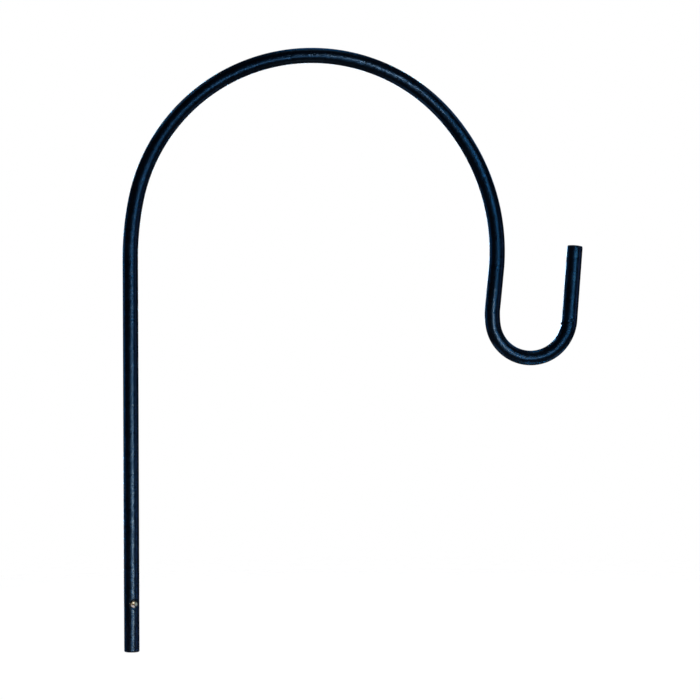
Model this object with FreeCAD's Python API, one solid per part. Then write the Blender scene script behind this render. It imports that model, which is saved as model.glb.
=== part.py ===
import FreeCAD, Part
import math
import os

# Arched shepherd's hook: one bent steel tube whose lower end is a spigot that
# slips into a pole and is held there by a sprung brass button. The far end
# falls from the arch and turns back up in a small hook that a basket, lantern
# or feeder hangs in.
#
# Frame, in millimetres: +Z up along the leg, the hook's plane is XZ, the arch
# reaches towards +X and the button faces -Y. The origin is on the leg's axis,
# where the spigot's straight wall starts; the rolled end lies just below it.

# ---------------------------------------------------------------- dimensions
# tube
tube_od = 15.875            # 5/8 in tube
tube_wall = 1.2
spigot_od = 15.70           # the end is sized a little under the tube
spigot_wall_len = 38.0      # straight wall of the sized end
size_taper_len = 22.0       # gentle taper from the sized end to the full tube
end_roll_r = 1.7            # the end is rolled in over this radius

# centreline, from the end of the leg to the tip
leg_straight = 402.4        # from the end of the tube to the first bend
lead_bend_r, lead_bend_deg = 303.4, 11.71      # the bend eases in
arch_r, arch_deg = 183.5, 127.68               # main arch
fall_bend_r, fall_bend_deg = 209.7, 42.51      # wider bend down the far side
tuck_bend_r, tuck_bend_deg = 187.8, 3.85       # the limb tucks slightly inward
limb_straight = 39.2
hook_in_r, hook_in_deg = 72.9, 15.17           # the small hook eases in, the other way round
hook_r, hook_deg = 38.76, 126.99               # round its bottom
hook_out_r, hook_out_deg = 43.2, 39.13         # and up into the tip
tip_straight = 77.1                            # to the top of the tip plug

# snap button
button_from_end = 49.5      # from the end of the tube to the button's axis
button_yaw_deg = 19.0       # the button's axis is turned this far towards +X
button_d = 7.14             # 9/32 in
button_proud = 3.2          # dome's tip above the tube
button_dome_h = 1.7
button_dome_edge_r = 0.7
button_shank_d = 3.5
button_tail_d = 5.4
button_tail_h = 0.7
hole_d = 7.8                # the hole in the tube that the button comes through

# spring clip, a folded strip
strip_w = 7.6
strip_t = 0.6
strip_out = 5.35            # outer face of each leg, from the tube's axis
strip_bend_r = 2.4          # fold, at the middle of the strip
strip_fold_up = 36.0        # centre of the fold above the button
strip_knee_up = 7.0         # where each leg turns to lie along the bore
strip_knee_r = 14.0
strip_land_down = 6.5       # free end below the button
strip_end_r = 2.6           # rounded corners of the free ends
strip_gap = 0.02            # between the leaf and the button's shoulders
strip_hole_d = 3.6

# tip plug
plug_head_h = 2.25
plug_head_d = 15.6
plug_edge_r = 1.5
plug_stem_d = 12.0
plug_stem_len = 12.0
plug_fin_d = 13.4
plug_fin_t = 1.1
plug_fin_pitch = 3.0
plug_bore_d = 8.6
plug_crown = 0.5            # the head is crowned by this much

# ------------------------------------------------------------------- helpers
V = FreeCAD.Vector
Y_AXIS = V(0, 1, 0)

r_tube = tube_od / 2.0
r_bore = r_tube - tube_wall
r_spig = spigot_od / 2.0
r_spig_bore = r_spig - tube_wall


def annulus(pos, direction, ro, ri):
    outer = Part.Face(Part.Wire([Part.Edge(Part.Circle(pos, direction, ro))]))
    inner = Part.Face(Part.Wire([Part.Edge(Part.Circle(pos, direction, ri))]))
    return outer.cut(inner).Faces[0]


def heading(deg):
    a = math.radians(deg)
    return V(math.cos(a), 0, math.sin(a))


def right_of(deg):
    a = math.radians(deg)
    return V(math.sin(a), 0, -math.cos(a))


def line(a, b):
    return Part.LineSegment(a, b).toShape()


def arc3(a, m, b):
    return Part.Arc(a, m, b).toShape()


def revolved(edges, base, axis):
    """Full turn of a closed profile that lies beside its axis."""
    solid = Part.Face(Part.Wire(edges)).revolve(base, axis, 360)
    if solid.Volume < 0:
        solid.reverse()
    return solid


def on_arc(c, r, deg):
    a = math.radians(deg)
    return V(c.x + r * math.cos(a), 0, c.z + r * math.sin(a))


# ------------------------------------------------------------ tube centreline
z_end = -end_roll_r
z_bend = leg_straight - end_roll_r
z_button = button_from_end - end_roll_r
z_full = spigot_wall_len + size_taper_len     # full tube diameter from here up
z_start = z_full + 6.0                        # the swept runs start here

runs = [
    ("leg", "line", z_bend - z_start, 0),
    ("lead", "arc", lead_bend_r, lead_bend_deg),
    ("arch", "arc", arch_r, arch_deg),
    ("fall", "arc", fall_bend_r, fall_bend_deg),
    ("tuck", "arc", tuck_bend_r, tuck_bend_deg),
    ("limb", "line", limb_straight, 0),
    ("hook_in", "arc", hook_in_r, -hook_in_deg),
    ("hook", "arc", hook_r, -hook_deg),
    ("hook_out", "arc", hook_out_r, -hook_out_deg),
    ("tip", "line", tip_straight - plug_head_h, 0),
]

pos = V(0, 0, z_start)
deg = 90.0
length = z_start
pieces = []
marks = {}
for name, kind, size, turn in runs:
    face = annulus(pos, heading(deg), r_tube, r_bore)
    if kind == "line":
        step = heading(deg) * size
        pieces.append(face.extrude(step))
        marks[name] = (V(pos), deg, V(pos + step))
        pos = pos + step
        length += size
    else:
        side = 1.0 if turn > 0 else -1.0
        centre = pos + right_of(deg) * (side * size)
        pieces.append(face.revolve(centre, Y_AXIS * side, abs(turn)))
        marks[name] = (V(pos), deg, V(centre))
        deg -= turn
        pos = centre - right_of(deg) * (side * size)
        length += size * math.radians(abs(turn))

tip_pos, tip_dir = V(pos), heading(deg)

# The lower end: rolled lip, sized spigot wall, taper, full tube.
roll_c = V(r_spig - end_roll_r, 0, 0)
roll_in = end_roll_r - tube_wall
p = [
    V(roll_c.x, 0, z_end),
    V(r_spig, 0, 0),
    V(r_spig, 0, spigot_wall_len),
    V(r_tube, 0, z_full),
    V(r_tube, 0, z_start),
    V(r_bore, 0, z_start),
    V(r_bore, 0, z_full),
    V(r_spig_bore, 0, spigot_wall_len),
    V(r_spig_bore, 0, 0),
    V(roll_c.x, 0, z_end + tube_wall),
]
end_piece = revolved(
    [
        arc3(p[0], on_arc(roll_c, end_roll_r, -45), p[1]),
        line(p[1], p[2]),
        line(p[2], p[3]),
        line(p[3], p[4]),
        line(p[4], p[5]),
        line(p[5], p[6]),
        line(p[6], p[7]),
        line(p[7], p[8]),
        arc3(p[8], on_arc(roll_c, roll_in, -45), p[9]),
        line(p[9], p[0]),
    ],
    V(0, 0, 0),
    V(0, 0, 1),
)

tube = end_piece.multiFuse(pieces)
print("solids in the fused tube:", len(tube.Solids))
tube = tube.Solids[0]
swept = math.pi * (r_tube ** 2 - r_bore ** 2) * (length - z_start)
print("tube volume %.1f, section times length %.1f" % (tube.Volume, swept + end_piece.Volume))
print("centreline length %.1f" % (length + end_roll_r + plug_head_h))

# The hole that the button comes through, square to the button's axis.
yaw = math.radians(button_yaw_deg)
out = V(math.sin(yaw), -math.cos(yaw), 0)      # the button's axis, outward
side = V(math.cos(yaw), math.sin(yaw), 0)      # across the strip
at = V(0, 0, z_button)
tube = tube.cut(Part.makeCylinder(hole_d / 2.0, 12.0, at, out))
tube = tube.Solids[0]

# ---------------------------------------------------------------- snap button
# Profiles are drawn in local coordinates (along the button's axis, across) and
# placed with this matrix: local X is outward, local Y across, local Z up.
place = FreeCAD.Matrix(
    out.x, side.x, 0, 0,
    out.y, side.y, 0, 0,
    0, 0, 1, z_button,
    0, 0, 0, 1,
)
u_leaf_out = strip_out
u_leaf_in = strip_out - strip_t
u_tip = r_tube + button_proud
u_dome = u_tip - button_dome_h
rb = button_d / 2.0
rs = button_shank_d / 2.0
rt = button_tail_d / 2.0
u_foot = u_leaf_out + strip_gap
u_tail_out = u_leaf_in - strip_gap
u_tail_in = u_tail_out - button_tail_h

# Dome as part of a sphere, with a rounded edge where it meets the wall.
R = (rb ** 2 + button_dome_h ** 2) / (2 * button_dome_h)
dome_c = u_tip - R
f = button_dome_edge_r
e_r = rb - f                                        # centre of the edge round
e_u = dome_c + math.sqrt((R - f) ** 2 - e_r ** 2)
k = R / (R - f)
d_u, d_r = dome_c + (e_u - dome_c) * k, e_r * k     # where dome and round meet
mid_a = math.atan2(d_r - e_r, d_u - e_u) / 2.0 + math.radians(45)
half = math.atan2(d_r, d_u - dome_c) / 2.0


def L(u, r):
    return V(u, 0, r)


q = [
    L(u_tail_in, 0),
    L(u_tail_in + 0.45, rt),
    L(u_tail_out, rt),
    L(u_tail_out, rs),
    L(u_foot, rs),
    L(u_foot, rb - 0.3),
    L(u_foot + 0.3, rb),
    L(e_u, rb),
    L(d_u, d_r),
    L(u_tip, 0),
]
tail_R = (rt ** 2 + 0.45 ** 2) / (2 * 0.45)
tail_half = math.asin(rt / tail_R) / 2.0
button = revolved(
    [
        arc3(
            q[0],
            L(u_tail_in + tail_R - tail_R * math.cos(tail_half), tail_R * math.sin(tail_half)),
            q[1],
        ),
        line(q[1], q[2]),
        line(q[2], q[3]),
        line(q[3], q[4]),
        line(q[4], q[5]),
        line(q[5], q[6]),
        line(q[6], q[7]),
        arc3(q[7], L(e_u + f * math.cos(mid_a), e_r + f * math.sin(mid_a)), q[8]),
        arc3(q[8], L(dome_c + R * math.cos(half), R * math.sin(half)), q[9]),
        line(q[9], q[0]),
    ],
    V(0, 0, 0),
    V(1, 0, 0),
)
button.Placement = FreeCAD.Placement(place)

# ---------------------------------------------------------------- spring clip
# The strip's middle line, from the free end behind the button up over the fold
# and down the other leg, as runs and arcs that meet in line.
u_mid = strip_out - strip_t / 2.0
fold_c = V(0, 0, strip_fold_up)
rise = strip_fold_up - strip_knee_up
dist = math.hypot(u_mid, rise)
phi = math.atan2(u_mid, rise) - math.asin(strip_bend_r / dist)
knee_t = strip_knee_r * math.tan(phi / 2.0)


def leg_edges(sign, off):
    """Edges of one face of a leg; off is measured away from the tube's axis."""
    u = sign * (u_mid + off)
    kc = V(sign * (u_mid - strip_knee_r), 0, strip_knee_up - knee_t)
    kr = strip_knee_r + off
    a = V(u, 0, -strip_land_down)
    b = V(u, 0, kc.z)

    def knee(t):
        return V(kc.x + sign * kr * math.cos(t), 0, kc.z + kr * math.sin(t))

    fr = strip_bend_r + off
    top = V(sign * fr * math.cos(phi), 0, fold_c.z + fr * math.sin(phi))
    return [line(a, b), arc3(b, knee(phi / 2.0), knee(phi)), line(knee(phi), top)], a, top


def fold_edge(off):
    fr = strip_bend_r + off
    a = V(fr * math.cos(phi), 0, fold_c.z + fr * math.sin(phi))
    m = V(0, 0, fold_c.z + fr)
    b = V(-fr * math.cos(phi), 0, a.z)
    return arc3(a, m, b)


h = strip_t / 2.0
edges = []
ends = {}
for s in (1, -1):
    for off in (h, -h):
        es, a, top = leg_edges(s, off)
        edges += es
        ends[(s, off)] = a
for off in (h, -h):
    edges.append(fold_edge(off))
for s in (1, -1):
    edges.append(line(ends[(s, h)], ends[(s, -h)]))
clip_wire = Part.Wire(Part.__sortEdges__(edges))
clip = Part.Face(clip_wire).extrude(V(0, strip_w, 0))
clip.translate(V(0, -strip_w / 2.0, 0))

# Rounded corners on the free ends.
hw = strip_w / 2.0
zb, zt = -strip_land_down, strip_fold_up + 6.0
c = strip_end_r
s45 = c * (1 - math.sqrt(0.5))
blank = Part.Face(
    Part.Wire(
        [
            line(V(0, -hw, zt), V(0, -hw, zb + c)),
            arc3(V(0, -hw, zb + c), V(0, -hw + s45, zb + s45), V(0, -hw + c, zb)),
            line(V(0, -hw + c, zb), V(0, hw - c, zb)),
            arc3(V(0, hw - c, zb), V(0, hw - s45, zb + s45), V(0, hw, zb + c)),
            line(V(0, hw, zb + c), V(0, hw, zt)),
            line(V(0, hw, zt), V(0, -hw, zt)),
        ]
    )
).extrude(V(20, 0, 0))
blank.translate(V(-10, 0, 0))
clip = clip.common(blank).Solids[0]
clip = clip.cut(Part.makeCylinder(strip_hole_d / 2.0, 4.0, V(strip_out - 2.0, 0, 0), V(1, 0, 0)))
clip = clip.Solids[0]
clip.Placement = FreeCAD.Placement(place)

# ------------------------------------------------------------------- tip plug
# Drawn along +Z from the tube's cut end, then turned to the tip's direction.
rh = plug_head_d / 2.0
rstem = plug_stem_d / 2.0
rfin = plug_fin_d / 2.0
rin = plug_bore_d / 2.0
crown = plug_crown
edge_c = V(rh - plug_edge_r, 0, plug_head_h - crown - plug_edge_r)
edge_top = V(edge_c.x, 0, plug_head_h - crown)
crown_R = (edge_c.x ** 2 + crown ** 2) / (2 * crown)
crown_half = math.asin(edge_c.x / crown_R) / 2.0
pts = [V(0, 0, plug_head_h)]
plug_edges = [
    arc3(
        pts[0],
        V(crown_R * math.sin(crown_half), 0, plug_head_h - crown_R * (1 - math.cos(crown_half))),
        edge_top,
    ),
    arc3(edge_top, on_arc(edge_c, plug_edge_r, 45), V(rh, 0, edge_c.z)),
]
trail = [V(rh, 0, edge_c.z), V(rh, 0, 0.02), V(rstem, 0, 0.02)]
for i in range(3):
    z = -2.2 - i * plug_fin_pitch
    trail += [V(rstem, 0, z), V(rfin, 0, z), V(rstem, 0, z - plug_fin_t)]
trail += [
    V(rstem, 0, -plug_stem_len + 0.8),
    V(rstem - 0.8, 0, -plug_stem_len),
    V(rin, 0, -plug_stem_len),
    V(rin, 0, -0.6),
    V(0, 0, -0.6),
    pts[0],
]
for a, b in zip(trail[:-1], trail[1:]):
    plug_edges.append(line(a, b))
plug = revolved(plug_edges, V(0, 0, 0), V(0, 0, 1))
turn = FreeCAD.Rotation(V(0, 0, 1), tip_dir)
plug.Placement = FreeCAD.Placement(tip_pos, turn)

# --------------------------------------------------------------------- output
os.makedirs("parts", exist_ok=True)
nodes = {
    "hook_tube": tube,
    "lock_button": button,
    "spring_clip": clip,
    "tip_plug": plug,
}
for name, shape in nodes.items():
    box = shape.BoundBox
    print(
        "%-12s valid %s solids %d volume %.1f  x %.2f..%.2f  y %.2f..%.2f  z %.2f..%.2f"
        % (name, shape.isValid(), len(shape.Solids), shape.Volume, box.XMin, box.XMax, box.YMin, box.YMax, box.ZMin, box.ZMax)
    )
    shape.exportStep(os.path.join("parts", name + ".step"))

for name, (a, d, b) in marks.items():
    print("%-8s starts %.2f,%.2f heading %.2f  end or centre %.2f,%.2f" % (name, a.x, a.z, d, b.x, b.z))
print("tip of tube %.2f,%.2f heading %.2f" % (tip_pos.x, tip_pos.z, deg))
names = list(nodes)
for i, a in enumerate(names):
    for b in names[i + 1:]:
        both = nodes[a].common(nodes[b]).Volume
        gap = nodes[a].distToShape(nodes[b])[0]
        print("%s / %s: shared %.4f mm3, gap %.3f mm" % (a, b, both, gap))
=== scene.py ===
import math

import bpy
import numpy as np
from mathutils import Matrix, Vector


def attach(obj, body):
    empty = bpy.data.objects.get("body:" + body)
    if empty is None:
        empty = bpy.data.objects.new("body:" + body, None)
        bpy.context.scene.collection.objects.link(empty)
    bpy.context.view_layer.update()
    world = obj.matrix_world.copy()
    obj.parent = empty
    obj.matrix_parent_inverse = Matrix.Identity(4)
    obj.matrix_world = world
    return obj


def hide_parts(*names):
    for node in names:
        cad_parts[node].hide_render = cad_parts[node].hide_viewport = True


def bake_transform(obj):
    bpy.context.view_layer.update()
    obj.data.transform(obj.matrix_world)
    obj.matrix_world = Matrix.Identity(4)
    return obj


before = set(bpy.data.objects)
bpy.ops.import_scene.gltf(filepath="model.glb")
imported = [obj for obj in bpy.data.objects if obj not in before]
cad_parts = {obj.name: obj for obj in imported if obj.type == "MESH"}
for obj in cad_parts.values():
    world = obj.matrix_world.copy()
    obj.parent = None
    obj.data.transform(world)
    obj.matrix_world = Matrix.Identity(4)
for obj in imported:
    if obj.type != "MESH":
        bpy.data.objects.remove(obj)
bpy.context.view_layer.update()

# Arched shepherd's hook: a bent, coated steel tube with a snap button near its
# lower end, the folded spring leaf behind the button and a plug in the tip.
# Lengths below are in millimetres, as on the drawing; meshes are in metres.

MM = 0.001
scene = bpy.context.scene


# ------------------------------------------------------------------ centreline
def walk(runs, x, z, deg):
    """Runs of a flat path as (start, length, x, z, heading, curvature): a line's size is its length, an arc's is (radius, turn), and a plus turn is to the left."""
    path, s, a = [], 0.0, math.radians(deg)
    for size in runs:
        if isinstance(size, tuple):
            r, turn = size
            length, k = r * math.radians(abs(turn)), math.copysign(1.0 / r, turn)
        else:
            length, k = size, 0.0
        path.append((s, length, x, z, a, k))
        if k:
            b = a + k * length
            x, z = x + (math.sin(b) - math.sin(a)) / k, z - (math.cos(b) - math.cos(a)) / k
            a = b
        else:
            x, z = x + length * math.cos(a), z + length * math.sin(a)
        s += length
    return path, s


def along(path, s):
    """(x, z, heading) at distances s."""
    s = np.asarray(s, float)
    x, z, a = np.empty_like(s), np.empty_like(s), np.empty_like(s)
    for i, (s0, length, x0, z0, a0, k) in enumerate(path):
        on = s >= s0 if i else np.ones_like(s, bool)
        d = s[on] - s0
        if k:
            b = a0 + k * d
            x[on], z[on] = x0 + (np.sin(b) - math.sin(a0)) / k, z0 - (np.cos(b) - math.cos(a0)) / k
            a[on] = b
        else:
            x[on], z[on], a[on] = x0 + d * math.cos(a0), z0 + d * math.sin(a0), a0
    return x, z, a


def smooth(t):
    t = np.clip(t, 0.0, 1.0)
    return t * t * (3.0 - 2.0 * t)


def hump(s, a, b, ease):
    """1 between a and b, easing to 0 over a distance on each side."""
    return smooth((s - a) / ease + 0.5) * smooth((b - s) / ease + 0.5)


# ------------------------------------------------------------------ dimensions
R_TUBE, WALL, R_SPIGOT = 7.9375, 1.2, 7.85
Z_END, ROLL_R = -1.7, 1.7
SPIGOT_TOP, FULL_FROM = 38.0, 60.0          # heights of the taper above the origin
TUBE_RUNS = (402.4, (303.4, -11.71), (183.5, -127.68), (209.7, -42.51), (187.8, -3.85), 39.2, (72.9, 15.17), (38.76, 126.99), (43.2, 39.13), 74.85)
TUBE, TUBE_LEN = walk(TUBE_RUNS, 0.0, Z_END, 90.0)
S_ARCH, S_LIMB, S_HOOK, S_TIP = TUBE[2][0], TUBE[5][0], TUBE[6][0], TUBE[9][0]

BUTTON_Z, BUTTON_YAW = 47.8, math.radians(19.0)
BUTTON_R, HOLE_R = 3.57, 3.9
OUT = np.array([math.sin(BUTTON_YAW), -math.cos(BUTTON_YAW), 0.0])
UP = np.array([0.0, 0.0, 1.0])


# ---------------------------------------------------------------- mesh helpers
class Shape:
    """Points and faces of one piece, with named values carried by its points and, where they are given, places of its faces on flat patches."""

    def __init__(self):
        self.points, self.faces, self.values, self.flat = [], [], {}, []

    def add(self, points, **values):
        first = sum(len(p) for p in self.points)
        points = np.asarray(points, float).reshape(-1, 3)
        self.points.append(points)
        for name, v in values.items():
            self.values.setdefault(name, []).append(np.asarray(v, float).reshape(len(points), -1))
        return np.arange(first, first + len(points))

    def face(self, corners, patch=None, spots=None):
        self.faces.append(tuple(int(c) for c in corners))
        if patch is not None:
            self.flat.append((patch, spots))

    def strip(self, a, b, patch=None, va=0.0, vb=0.0, ua=None, ub=None):
        """Quads between two closed rows of points, facing as rows that run on in order. On its patch a quad lies between va and vb, and round the rows by the share of the turn, or by ua and ub."""
        n = len(a)
        for i in range(n):
            j = (i + 1) % n
            if ua is None:
                spots = ((i / n, va), ((i + 1) / n, va), ((i + 1) / n, vb), (i / n, vb))
            else:
                spots = ((ua[i], va[i]), (ua[j], va[j]), (ub[j], vb[j]), (ub[i], vb[i]))
            self.face((a[i], a[j], b[j], b[i]), patch, spots)

    def fan(self, tip, row, turned=False):
        n = len(row)
        for i in range(n):
            a, b = row[i], row[(i + 1) % n]
            self.face((tip, b, a) if turned else (tip, a, b))

    def make(self, name, material, sheet=None):
        points = np.concatenate(self.points)
        mesh = bpy.data.meshes.new(name)
        mesh.from_pydata((points * MM).tolist(), [], self.faces)
        for key, parts in self.values.items():
            v = np.concatenate(parts)
            kind, field = ("FLOAT_VECTOR", "vector") if v.shape[1] == 3 else ("FLOAT", "value")
            mesh.attributes.new(key, kind, "POINT").data.foreach_set(field, v.astype(np.float32).ravel())
        mesh.polygons.foreach_set("use_smooth", [True] * len(mesh.polygons))
        mesh.update()
        mesh.validate()
        if sheet is not None:
            spots = np.concatenate([sheet(patch, np.array(places, float)) for patch, places in self.flat])
            mesh.uv_layers.new(name="OFBake").data.foreach_set("uv", spots.astype(np.float32).ravel())
        mesh.materials.append(material)
        obj = bpy.data.objects.new(name, mesh)
        scene.collection.objects.link(obj)
        return obj


def rim_of(c0, c1, r0, r1):
    """(column, row) of a block's border, in order, from its first corner."""
    rim = [(c, r0) for c in range(c0, c1)] + [(c1, r) for r in range(r0, r1)]
    return rim + [(c, r1) for c in range(c1, c0, -1)] + [(c0, r) for r in range(r1, r0, -1)]


def holed_sheet(shape, place, columns, rows, block, hole, rings, values, patch):
    """A closed sheet of columns by rows with one block of it cut out and filled with rings that run in to a round hole. hole(angle) gives the hole's edge as (column value, row value), and angle is measured between them. Returns the rows of points, the hole's edge and its angles."""
    c0, c1, r0, r1 = block
    n = len(columns)
    grid = np.full((len(rows), n), -1, int)
    for j, r in enumerate(rows):
        inside = [i for i in range(n) if not (r0 < j < r1 and c0 < i < c1)]
        c = columns[inside]
        rr = np.full(len(inside), r)
        grid[j, inside] = shape.add(place(c, rr), **values(c, rr))
    for j in range(len(rows) - 1):
        for i in range(n):
            k = (i + 1) % n
            if r0 <= j < r1 and c0 <= i < c1:
                continue
            spots = ((i / n, rows[j]), ((i + 1) / n, rows[j]), ((i + 1) / n, rows[j + 1]), (i / n, rows[j + 1]))
            shape.face((grid[j, i], grid[j, k], grid[j + 1, k], grid[j + 1, i]), patch, spots)
    rim = rim_of(c0, c1, r0, r1)
    border = np.array([grid[r, c] for c, r in rim])
    bc = np.array([columns[c] for c, r in rim])
    br = np.array([rows[r] for c, r in rim])
    angle = hole["angle"](bc, br)
    hc, hr = hole["edge"](angle)
    last, lc, lr = border, bc, br
    share = lambda c: (c - columns[0]) / (2 * math.pi)
    for k in range(1, rings + 1):
        t = 1.0 - (1.0 - k / rings) ** 1.6 if k < rings else 1.0
        c, r = bc + (hc - bc) * t, br + (hr - br) * t
        row = shape.add(place(c, r), **values(c, r))
        shape.strip(last, row, patch, lr, r, share(lc), share(c))
        last, lc, lr = row, c, r
    return grid, last, angle


def lathe(shape, profile, origin, axis, around, **extra):
    """Turns a profile of (radius, height) from one point on the axis to the other."""
    axis = np.asarray(axis, float)
    e1 = np.cross(axis, [0.0, 1.0, 0.0] if abs(axis[1]) < 0.7 else [0.0, 0.0, 1.0])
    e1 /= np.linalg.norm(e1)
    e2 = np.cross(axis, e1)
    t = np.linspace(0, 2 * math.pi, around, endpoint=False)
    ring = np.outer(np.cos(t), e1) + np.outer(np.sin(t), e2)
    origin = np.asarray(origin, float)
    rows = []
    for r, h in profile:
        if r < 1e-9:
            rows.append(shape.add([origin + axis * h], turn_co=[[0.0, 0.0, h]]))
        else:
            co = np.stack([r * np.cos(t), r * np.sin(t), np.full(around, h)], 1)
            rows.append(shape.add(origin + axis * h + ring * r, turn_co=co))
    for a, b in zip(rows[:-1], rows[1:]):
        if len(a) == 1:
            shape.fan(a[0], b, turned=True)
        elif len(b) == 1:
            shape.fan(b[0], a)
        else:
            shape.strip(a, b)


def corner(centre, radius, a, b, steps):
    """Points of an arc in a profile, angles in degrees from outward to up."""
    t = np.radians(np.linspace(a, b, steps + 1))
    return [(centre[0] + radius * math.cos(v), centre[1] + radius * math.sin(v)) for v in t]


# ------------------------------------------------------------------- materials
class Nodes:
    def __init__(self, name):
        self.material = bpy.data.materials.new(name)
        self.material.use_nodes = True
        self.tree = self.material.node_tree
        self.tree.nodes.clear()
        self.out = self.tree.nodes.new("ShaderNodeOutputMaterial")
        self.shader = self.tree.nodes.new("ShaderNodeBsdfPrincipled")
        self.link(self.shader.outputs["BSDF"], self.out.inputs["Surface"])

    def link(self, a, b):
        self.tree.links.new(a, b)

    def new(self, kind, **settings):
        node = self.tree.nodes.new(kind)
        for k, v in settings.items():
            setattr(node, k, v)
        return node

    def put(self, socket, value):
        if isinstance(value, bpy.types.NodeSocket):
            self.link(value, socket)
        else:
            socket.default_value = value

    def carried(self, name, field="Vector"):
        return self.new("ShaderNodeAttribute", attribute_name=name).outputs[field]

    def place(self):
        return self.new("ShaderNodeTexCoord").outputs["Object"]

    def scaled(self, vector, by):
        node = self.new("ShaderNodeVectorMath", operation="MULTIPLY")
        self.link(vector, node.inputs[0])
        node.inputs[1].default_value = by
        return node.outputs[0]

    def shifted(self, vector, by):
        node = self.new("ShaderNodeVectorMath", operation="ADD")
        self.link(vector, node.inputs[0])
        node.inputs[1].default_value = by
        return node.outputs[0]

    def split(self, vector, axis):
        node = self.new("ShaderNodeSeparateXYZ")
        self.link(vector, node.inputs[0])
        return node.outputs[axis]

    def noise(self, vector, scale, detail=2.0, rough=0.5, bent=0.0, field="Fac"):
        node = self.new("ShaderNodeTexNoise")
        self.link(vector, node.inputs["Vector"])
        node.inputs["Scale"].default_value = scale
        node.inputs["Detail"].default_value = detail
        node.inputs["Roughness"].default_value = rough
        node.inputs["Distortion"].default_value = bent
        return node.outputs[field]

    def cells(self, vector, scale, field="Distance", jitter=1.0):
        node = self.new("ShaderNodeTexVoronoi", feature="F1")
        self.link(vector, node.inputs["Vector"])
        node.inputs["Scale"].default_value = scale
        node.inputs["Randomness"].default_value = jitter
        return node.outputs[field]

    def math(self, what, a, b=0.0, clamp=False):
        node = self.new("ShaderNodeMath", operation=what, use_clamp=clamp)
        self.put(node.inputs[0], a)
        self.put(node.inputs[1], b)
        return node.outputs[0]

    def fit(self, value, a, b, lo, hi, ease=False):
        node = self.new("ShaderNodeMapRange", clamp=True)
        if ease:
            node.interpolation_type = "SMOOTHSTEP"
        for i, v in enumerate((value, a, b, lo, hi)):
            self.put(node.inputs[i], v)
        return node.outputs[0]

    def mix(self, share, a, b):
        node = self.new("ShaderNodeMix", data_type="RGBA")
        self.put(node.inputs["Factor"], share)
        colour_in = [s for s in node.inputs if s.type == "RGBA"]
        for socket, value in zip(colour_in, (a, b)):
            self.put(socket, value if isinstance(value, bpy.types.NodeSocket) else (*value, 1.0))
        return [s for s in node.outputs if s.type == "RGBA"][0]

    def bump(self, height, distance, strength=1.0, under=None):
        node = self.new("ShaderNodeBump")
        node.inputs["Strength"].default_value = strength
        node.inputs["Distance"].default_value = distance
        self.link(height, node.inputs["Height"])
        if under is not None:
            self.link(under, node.inputs["Normal"])
        return node.outputs[0]


def powder_coat():
    """Satin blue-black powder coat: fine orange peel over slow waves in the film, a little dust in it, rubbed streaks
    on the spigot, and paler edges. The edges are a thin, worn coat, and at the rim of the button's hole also a painted
    glint.
    """
    m = Nodes("powder_coat")
    co = m.carried("tube_co")                       # along the tube, and round it, in mm
    far = m.split(co, "X")
    peel = m.noise(co, 0.52, 2.0, 0.55)
    wave = m.noise(m.shifted(co, (31.0, 7.0, 3.0)), 0.17, 2.0, 0.5)
    grain = m.noise(m.shifted(co, (5.0, 11.0, 2.0)), 2.6, 2.0, 0.6)
    cloud = m.noise(m.shifted(co, (90.0, 4.0, 8.0)), 0.045, 3.0, 0.6)
    # rubbed streaks, where the pole slides over the spigot
    streak = m.noise(m.scaled(co, (0.035, 1.5, 1.5)), 1.0, 4.0, 0.62)
    rubbed = m.fit(far, 45.0, 88.0, 1.0, 0.0, True)
    lines = m.fit(streak, 0.56, 0.70, 0.0, 1.0, True)
    patchy = m.fit(m.noise(co, 0.11, 2.0, 0.5), 0.42, 0.62, 0.0, 1.0, True)
    scuff = m.math("MULTIPLY", m.math("MULTIPLY", rubbed, lines), patchy)
    # edges where the coat is thin and worn towards bare steel; at the rim of the button's hole this paler colour is
    # also a painted glint
    edge = m.carried("edge", "Fac")
    bare_and_glint = m.math("MULTIPLY", edge, m.fit(m.noise(co, 0.9, 3.0, 0.6), 0.40, 0.58, 0.0, 1.0, True))
    # nibs: single grains of dust under the film
    spot = m.cells(m.shifted(co, (3.0, 1.0, 6.0)), 0.16)
    chance = m.fit(m.split(m.cells(m.shifted(co, (3.0, 1.0, 6.0)), 0.16, "Color"), "X"), 0.80, 0.82, 0.0, 1.0)
    nib = m.math("MULTIPLY", m.fit(spot, 0.03, 0.085, 1.0, 0.0, True), chance)

    colour = m.mix(m.fit(cloud, 0.35, 0.65, 0.0, 1.0), (0.0010, 0.0012, 0.0018), (0.0020, 0.0024, 0.0037))
    colour = m.mix(m.fit(far, 14.0, 42.0, 0.55, 0.0, True), colour, (0.0052, 0.0046, 0.0084))
    colour = m.mix(m.math("MULTIPLY", scuff, 0.45), colour, (0.040, 0.044, 0.050))
    # paler edges: worn coat, and at the rim of the button's hole a painted glint
    colour = m.mix(m.math("MULTIPLY", bare_and_glint, 0.30), colour, (0.12, 0.118, 0.115))
    m.link(colour, m.shader.inputs["Base Color"])
    rough = m.fit(wave, 0.30, 0.70, 0.26, 0.35)
    rough = m.math("ADD", rough, m.fit(grain, 0.35, 0.65, -0.035, 0.035))
    rough = m.math("SUBTRACT", rough, m.math("MULTIPLY", scuff, 0.08), True)
    m.link(rough, m.shader.inputs["Roughness"])
    m.shader.inputs["IOR"].default_value = 1.5
    m.shader.inputs["Specular Tint"].default_value = (0.55, 0.78, 1.0, 1.0)
    normal = m.bump(wave, 0.00042)
    normal = m.bump(peel, 0.00010, 1.0, normal)
    normal = m.bump(grain, 0.000018, 1.0, normal)
    normal = m.bump(nib, 0.00007, 1.0, normal)
    m.link(normal, m.shader.inputs["Normal"])
    return m.material


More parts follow.
